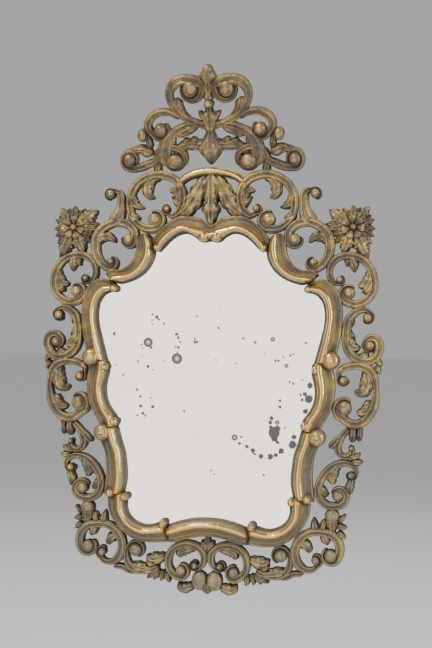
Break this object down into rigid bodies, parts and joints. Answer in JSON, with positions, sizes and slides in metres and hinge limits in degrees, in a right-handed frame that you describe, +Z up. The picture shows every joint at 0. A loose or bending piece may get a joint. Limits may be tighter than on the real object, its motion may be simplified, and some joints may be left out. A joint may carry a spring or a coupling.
{
  "type": "carved gilt wall mirror",
  "caption": "Tall wall mirror in a pierced, carved and gilded scroll frame with a separate leaning cresting.",
  "frame": {"origin": "middle of the hanging plate's back face, which lies against the wall", "axes": "+Z up the mirror, +Y into the wall, the carved face looks along -Y, +X to the viewer's right"},
  "size_m": [0.6506, 0.0907, 0.9899],
  "materials": {
    "frame": "carved wood, worn gold leaf over dark ground",
    "crest": "carved wood, browner worn gold",
    "mirror_glass": "old silvered plate with foxing",
    "backboard": "bare planed board",
    "hanging_plate": "dark iron"
  },
  "bodies": {
    "root": {"frame": "frame", "crest": "crest", "mirror_glass": "mirror_glass", "backboard": "backboard", "hanging_plate": "hanging_plate"}
  },
  "joints": []
}
